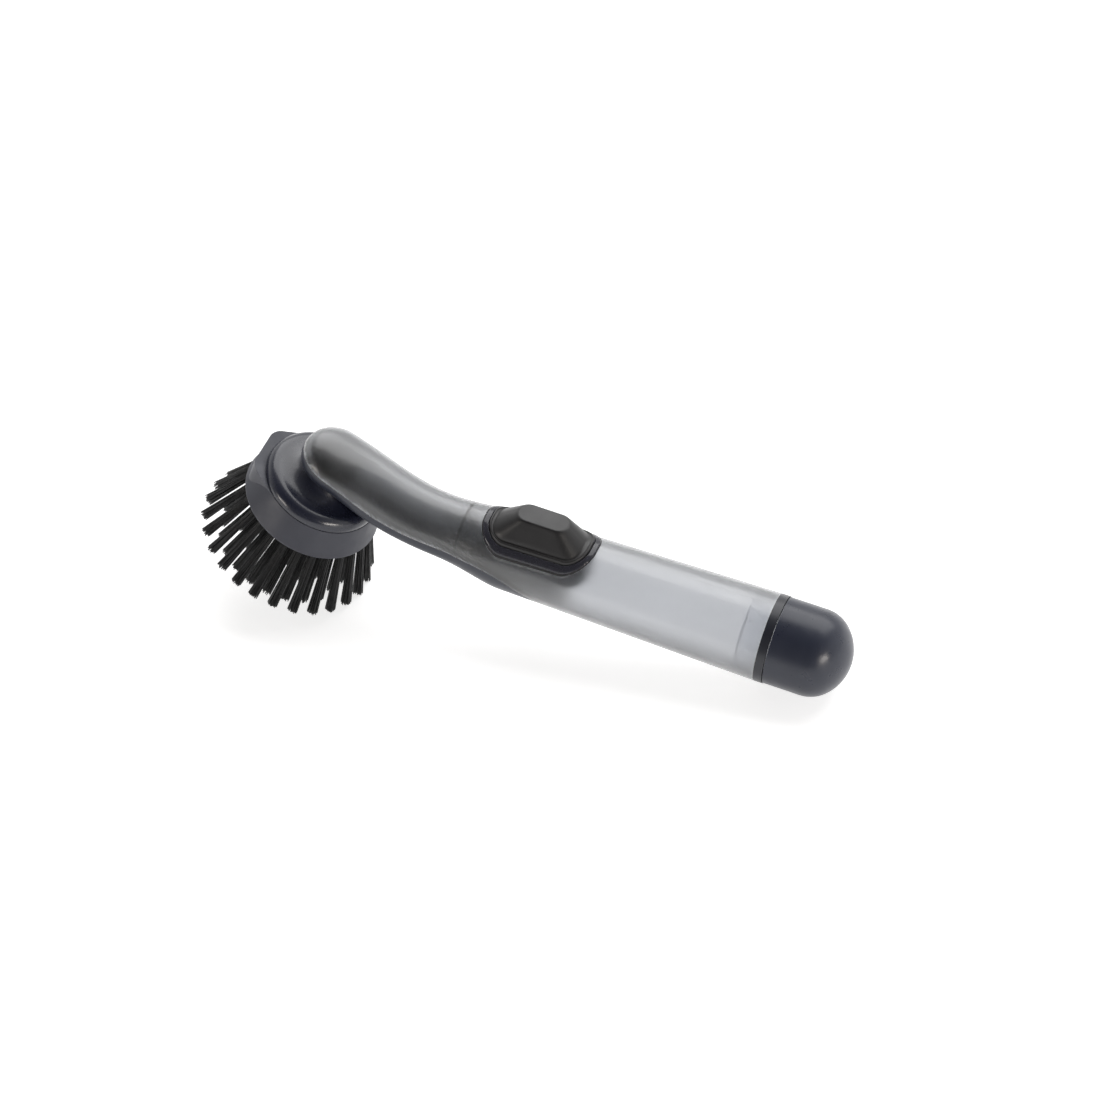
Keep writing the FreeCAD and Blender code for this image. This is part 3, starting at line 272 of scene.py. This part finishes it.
FINISHES = {
    "smoke_plastic": clear("smoke_plastic", (0.38, 0.44), 250.0, IOR=1.5,
                           Coat_Weight=1.0, Coat_Roughness=0.22),
    "clear_plastic": clear("clear_plastic", (0.1, 0.16), 0.0, IOR=1.15),
    "dark_plastic": moulded("dark_plastic", (44, 48, 60), (52, 56, 68), (0.3, 0.42), 1400, 0.08, 0.02),
    "collar_plastic": moulded("collar_plastic", (34, 36, 44), (40, 42, 50), (0.28, 0.38), 1400, 0.06, 0.02),
    "cap_plastic": moulded("cap_plastic", (42, 46, 60), (48, 52, 66), (0.26, 0.36), 600, 0.03, 0.02),
    "bezel_plastic": moulded("bezel_plastic", (58, 58, 68), (66, 66, 76), (0.12, 0.18), 300, 0.01, 0.01,
                             Transmission_Weight=0.4, IOR=1.5),
    "button_rubber": moulded("button_rubber", (26, 25, 26), (33, 32, 33), (0.34, 0.44), 2200, 0.12, 0.03),
    "seal_rubber": moulded("seal_rubber", (30, 30, 33), (38, 38, 41), (0.5, 0.65), 1800, 0.15, 0.03),
    "chamber_plastic": moulded("chamber_plastic", (150, 153, 160), (162, 165, 172), (0.3, 0.4),
                               1400, 0.06, 0.02, Transmission_Weight=0.7, IOR=1.4),
    "hose_rubber": moulded("hose_rubber", (205, 207, 211), (215, 217, 221), (0.4, 0.5), 1500, 0.1, 0.02,
                           Transmission_Weight=0.5, IOR=1.4),
    "inner_plastic": moulded("inner_plastic", (50, 52, 58), (60, 62, 68), (0.4, 0.5), 1400, 0.08, 0.02),
    "bell_plastic": moulded("bell_plastic", (28, 31, 46), (34, 37, 53), (0.22, 0.32), 1300, 0.04, 0.015,
                            Coat_Weight=0.3, Coat_Roughness=0.16),
    "housing_plastic": moulded("housing_plastic", (12, 12, 18), (18, 18, 24), (0.4, 0.5), 1400, 0.08, 0.02),
    "base_plastic": moulded("base_plastic", (58, 60, 70), (68, 70, 80), (0.42, 0.55), 1800, 0.12, 0.03),
    "bristle": bristle(),
    "anchor_metal": moulded("anchor_metal", (150, 140, 105), (170, 160, 120), (0.25, 0.4), 2000, 0.1, 0.01,
                            Metallic=1.0),
}

NODE_FINISH = {
    "handle_shell": "smoke_plastic",
    "neck_cover": "dark_plastic",
    "filler_collar": "clear_plastic",
    "collar_band": "collar_plastic",
    "end_cap": "cap_plastic",
    "cap_gasket": "seal_rubber",
    "cap_insert": "inner_plastic",
    "vent_valve": "seal_rubber",
    "pump_chamber": "chamber_plastic",
    "inlet_flap": "inner_plastic",
    "delivery_hose": "hose_rubber",
    "head_mount": "bell_plastic",
    "slit_valve": "seal_rubber",
    "valve_retainer": "inner_plastic",
    "mount_o_ring": "seal_rubber",
    "valve_housing": "housing_plastic",
    "tuft_anchors": "anchor_metal",
    "brush_base": "base_plastic",
}


def dress(thing, finish):
    thing.data.materials.clear()
    thing.data.materials.append(FINISHES[finish])


for name, finish in NODE_FINISH.items():
    dress(nodes[name], finish)


# Meshes

def piece(name, points, faces, finish, body, stands_for):
    """A smooth mesh piece that rides on a body in place of a node."""
    mesh = bpy.data.meshes.new(name)
    mesh.from_pydata(points, [], faces)
    mesh.update()
    thing = bpy.data.objects.new(name, mesh)
    scene.collection.objects.link(thing)
    mesh.shade_smooth()
    dress(thing, finish)
    if stands_for:
        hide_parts(*stands_for)
    if body:
        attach(thing, body)
    return thing


def reach(angle, length, width, corner):
    """How far a rounded oblong reaches from its middle in a direction."""
    way = (abs(math.cos(angle)), abs(math.sin(angle)))
    low, high = 0.0, length + width
    for step in range(HALVINGS):
        middle = (low + high) / 2
        over_x = middle * way[0] - (length - corner)
        over_y = middle * way[1] - (width - corner)
        gap = math.hypot(max(over_x, 0), max(over_y, 0)) + min(max(over_x, over_y), 0) - corner
        low, high = (middle, high) if gap < 0 else (low, middle)
    return (low + high) / 2


def soft_least(first, second, blend):
    """The lesser of two numbers, rounded where they cross."""
    share = max(blend - abs(first - second), 0) / blend
    return min(first, second) - share * share * blend / 4


def tube_radius(x):
    return SEAM_RADIUS + x * math.tan(math.radians(TUBE_DRAFT))


TURNS = [2 * math.pi * k / AROUND for k in range(AROUND)]
ANGLES = [math.atan2(BEZEL[1] * math.sin(turned), BEZEL[0] * math.cos(turned)) for turned in TURNS]


def closed_rings(rings, loop):
    """Quads between rings of equal length, closed into a torus or left open."""
    faces = []
    count = len(rings[0])
    for level in range(len(rings) if loop else len(rings) - 1):
        here, there = level * count, (level + 1) % len(rings) * count
        for k in range(count):
            after = (k + 1) % count
            faces.append((here + k, here + after, there + after, there + k))
    return [point for ring in rings for point in ring], faces


def band(name, outer_inset, inner_inset, section, finish, body, stands_for):
    """Oblong ring that follows the tube, swept with a section of (share across, height over the tube)."""
    sizes = [[side - inset for side in BEZEL] for inset in (outer_inset, inner_inset)]
    spans = [[reach(angle, *size) for angle in ANGLES] for size in sizes]
    rings = []
    for share, height in section:
        ring = []
        for angle, far, near in zip(ANGLES, *spans):
            out = far + (near - far) * share
            x, y = out * math.cos(angle) - BUTTON_STATION, out * math.sin(angle)
            ring.append(row((x, y, math.sqrt((tube_radius(x) + height) ** 2 - y * y))))
        rings.append(ring)
    points, faces = closed_rings(rings, True)
    return piece(name, points, faces, finish, body, stands_for)


def rounded_section(low, high, round_share):
    """Section of a band with rounded shoulders, from the outer foot over the top to the inner foot."""
    half = [(0.0, low), (0.0, (low + high) / 2)]
    for k in range(BAND_STEPS + 1):
        angle = math.pi / 2 * k / BAND_STEPS
        across = round_share * (1 - math.cos(angle))
        half.append((across, high - (1 - math.sin(angle)) * (high - low) * BAND_SHOULDER))
    return half + [(1 - across, height) for across, height in reversed(half)]


band("bezel_ring", 0.0, BEZEL_RING, rounded_section(-SEAT_DEPTH, BEZEL_PROUD, BEZEL_ROUND),
     "bezel_plastic", "handle", ["button_bezel"])
band("bezel_joint", -JOINT_WIDTH, 0.0, rounded_section(-JOINT_DEPTH, JOINT_PROUD, JOINT_ROUND),
     "seal_rubber", "handle", [])


def rubber_button():
    """Rubber button in one with its rolled lip, with rounded shoulders and a faintly crowned top."""
    spans = [[reach(angle, *[side - inset for side in BEZEL]) for angle in ANGLES]
             for inset in (LIP_INSET, LIP_INSET + LIP_WIDTH, STEM_INSET)]

    def slope(height):
        share = (height - FOOT_HEIGHT) / (CROWN_HEIGHT - FOOT_HEIGHT)
        return [low + (high - low) * share for low, high in zip(FOOT, CROWN)]

    def shoulder(share):
        """Rounding from the slope into the flat top."""
        weights = ((1 - share) ** 2, 2 * share * (1 - share), share ** 2)
        start = CROWN_HEIGHT - SHOULDER_DROP
        height = weights[0] * start + (1 - weights[0]) * (CROWN_HEIGHT - TOP_DISH)
        flat = [side - SHOULDER_RUN for side in CROWN]
        stages = zip(slope(start), CROWN, flat)
        return height, [sum(w * s for w, s in zip(weights, sides)) for sides in stages]

    columns = []
    for angle, far, near, limit in zip(ANGLES, *spans):
        column = []
        way = (math.cos(angle), math.sin(angle))
        for share, height in LIP_SECTION:
            out = far + (near - far) * share
            x, y = out * way[0] - BUTTON_STATION, out * way[1]
            column.append((out, math.sqrt((tube_radius(x) + height) ** 2 - y * y)))
        low, high = column[-1][1] - VALLEY, CROWN_HEIGHT - SHOULDER_DROP
        for step in range(SLOPE_STEPS):
            height = low + (high - low) * step / SLOPE_STEPS
            column.append((soft_least(reach(angle, *slope(height)), limit, FOOT_BLEND), height))
        for step in range(SHOULDER_STEPS + 1):
            height, size = shoulder(step / SHOULDER_STEPS)
            column.append((soft_least(reach(angle, *size), limit, FOOT_BLEND), height))
        edge = column[-1]
        column += [(edge[0] * share, CROWN_HEIGHT - TOP_DISH * share) for share in TOP_SHARES]
        columns.append([(out * way[0] - BUTTON_STATION, out * way[1], height) for out, height in column])
    rings = [[row(column[level]) for column in columns] for level in range(len(columns[0]))]
    points, faces = closed_rings(rings, False)
    faces.append(tuple(range(AROUND))[::-1])
    faces.append(tuple(range(len(points) - AROUND, len(points))))
    thing = piece("rubber_button", points, faces, "button_rubber", None, ["push_button", "button_skirt"])
    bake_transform(thing)


rubber_button()


# Filaments

def bundle(rng, foot, way, length, points, faces):
    """One tuft: filaments side by side that part a little towards their cut ends."""
    side = way.orthogonal().normalized()
    other = way.cross(side)
    golden = math.pi * (3 - math.sqrt(5))
    for number in range(FILAMENTS):
        out = math.sqrt((number + 0.5) / FILAMENTS)
        angle = number * golden + rng.uniform(-FILAMENT_TURN, FILAMENT_TURN)
        lean = (side * math.cos(angle) + other * math.sin(angle)) * out
        stray = (side * rng.uniform(-1, 1) + other * rng.uniform(-1, 1)) * FILAMENT_STRAY
        start = foot - way * TUFT_SINK + lean * BUNDLE_FOOT
        end = foot + way * (length - rng.uniform(0.0, FILAMENT_CUT)) + lean * BUNDLE_TIP + stray
        middle = (start + end) / 2 - lean * BUNDLE_WAIST + stray * STRAY_AT_MIDDLE
        spin = rng.uniform(0, math.pi)
        first = len(points)
        path = (start, middle, end)
        for spot in path:
            for k in range(FILAMENT_SIDES):
                edge = spin + 2 * math.pi * k / FILAMENT_SIDES
                points.append(spot + (side * math.cos(edge) + other * math.sin(edge)) * FILAMENT_RADIUS)
        for level in range(len(path) - 1):
            base = first + level * FILAMENT_SIDES
            for k in range(FILAMENT_SIDES):
                here, after = base + k, base + (k + 1) % FILAMENT_SIDES
                faces.append((here, after, after + FILAMENT_SIDES, here + FILAMENT_SIDES))
        faces.append(tuple(range(len(points) - FILAMENT_SIDES, len(points))))


def brush_ring(ring, count, near, far, depth, phase):
    """One ring of tufts that leave the face of the base at an even slant."""
    rng = random.Random(sum(ord(letter) for letter in ring))
    points, faces = [], []
    for number in range(count):
        angle = 2 * math.pi * (number + phase) / count
        out = Vector((math.cos(angle), math.sin(angle), 0))
        span = out * (far - near) + Vector((0, 0, -depth))
        bundle(rng, out * near + Vector((0, 0, -FACE_DEPTH)), span.normalized(), span.length, points, faces)
    placed = [(head_to_row @ point) * MM for point in points]
    return piece(ring + "_bristles", placed, faces, "bristle", "head", [ring + "_tufts"])


for ring in RINGS:
    brush_ring(*ring)


# Studio

def combine(tree, operation, first, second):
    """Two values joined by a math node."""
    node = tree.nodes.new("ShaderNodeMath")
    node.operation = operation
    tree.links.new(first, node.inputs[0])
    tree.links.new(second, node.inputs[1])
    return node.outputs[0]


def ramp(tree, source, span, ends):
    """A value that runs between two ends over a span of the source."""
    node = tree.nodes.new("ShaderNodeMapRange")
    for socket, value in zip(("From Min", "From Max", "To Min", "To Max"), span + ends):
        node.inputs[socket].default_value = value
    tree.links.new(source, node.inputs["Value"])
    return node.outputs["Result"]


def light_paths(tree):
    """Camera rays, and with them the rays of reflections and of views through clear plastic."""
    rays = tree.nodes.new("ShaderNodeLightPath").outputs
    through = combine(tree, "MAXIMUM", rays["Is Glossy Ray"], rays["Is Transmission Ray"])
    return rays["Is Camera Ray"], combine(tree, "MAXIMUM", rays["Is Camera Ray"], through)


def backdrop():
    """Studio that is white all round to the camera, and dim overhead and in front to the object."""
    world = bpy.data.worlds.new("studio")
    world.use_nodes = True
    scene.world = world
    tree = world.node_tree
    sky = tree.nodes["Background"]
    sky.inputs["Color"].default_value = (1, 1, 1, 1)
    way = tree.nodes.new("ShaderNodeSeparateXYZ")
    tree.links.new(tree.nodes.new("ShaderNodeTexCoord").outputs["Generated"], way.inputs["Vector"])
    camera_rays, seen = light_paths(tree)
    overhead = ramp(tree, way.outputs["Z"], *OVERHEAD)
    front = ramp(tree, way.outputs["Y"], *FRONT)
    share = ramp(tree, seen, (0.0, 1.0), (DIFFUSE_SHARE, 1.0))
    level = combine(tree, "MULTIPLY", combine(tree, "MULTIPLY", overhead, front), share)
    tree.links.new(combine(tree, "MAXIMUM", camera_rays, level), sky.inputs["Strength"])


def floor():
    """Pale table that reads white and keeps the object's soft shadow."""
    corners = [(x * FLOOR_HALF, y * FLOOR_HALF, 0) for x, y in ((-1, -1), (1, -1), (1, 1), (-1, 1))]
    mesh = bpy.data.meshes.new("floor")
    mesh.from_pydata(corners, [], [(0, 1, 2, 3)])
    thing = bpy.data.objects.new("floor", mesh)
    scene.collection.objects.link(thing)
    material = bpy.data.materials.new("floor")
    material.use_nodes = True
    tree = material.node_tree
    shader = tree.nodes["Principled BSDF"]
    shader.inputs["Base Color"].default_value = (FLOOR_TONE, FLOOR_TONE, FLOOR_TONE, 1)
    shader.inputs["Roughness"].default_value = FLOOR_ROUGHNESS
    shader.inputs["Specular IOR Level"].default_value = FLOOR_SPECULAR
    shader.inputs["Emission Color"].default_value = (1, 1, 1, 1)
    glow = ramp(tree, light_paths(tree)[1], (0.0, 1.0), (0.0, FLOOR_GLOW))
    tree.links.new(glow, shader.inputs["Emission Strength"])
    mesh.materials.append(material)


def softbox(name, spot, aim, size, power, colour):
    """Soft lamp that is hidden from views through clear plastic."""
    lamp = bpy.data.lights.new(name, "AREA")
    lamp.shape = "RECTANGLE"
    lamp.size, lamp.size_y = size
    lamp.energy = power
    lamp.color = colour
    thing = bpy.data.objects.new(name, lamp)
    scene.collection.objects.link(thing)
    way = Vector(aim) - Vector(spot)
    thing.matrix_world = Matrix.Translation(Vector(spot)) @ way.to_track_quat("-Z", "Y").to_matrix().to_4x4()
    thing.visible_transmission = False


backdrop()
floor()
for lamp in SOFTBOXES:
    softbox(*lamp)


def camera():
    back = Vector(CAMERA_RIGHT).cross(Vector(CAMERA_UP))
    axes = [turn(way) for way in (CAMERA_RIGHT, CAMERA_UP, back)]
    data = bpy.data.cameras.new("camera")
    data.lens = CAMERA_LENS
    data.clip_end = CAMERA_CLIP
    thing = bpy.data.objects.new("camera", data)
    scene.collection.objects.link(thing)
    thing.matrix_world = Matrix.Translation(row(CAMERA_SPOT)) @ Matrix(axes).transposed().to_4x4()
    scene.camera = thing


camera()
scene.view_settings.view_transform = "Standard"
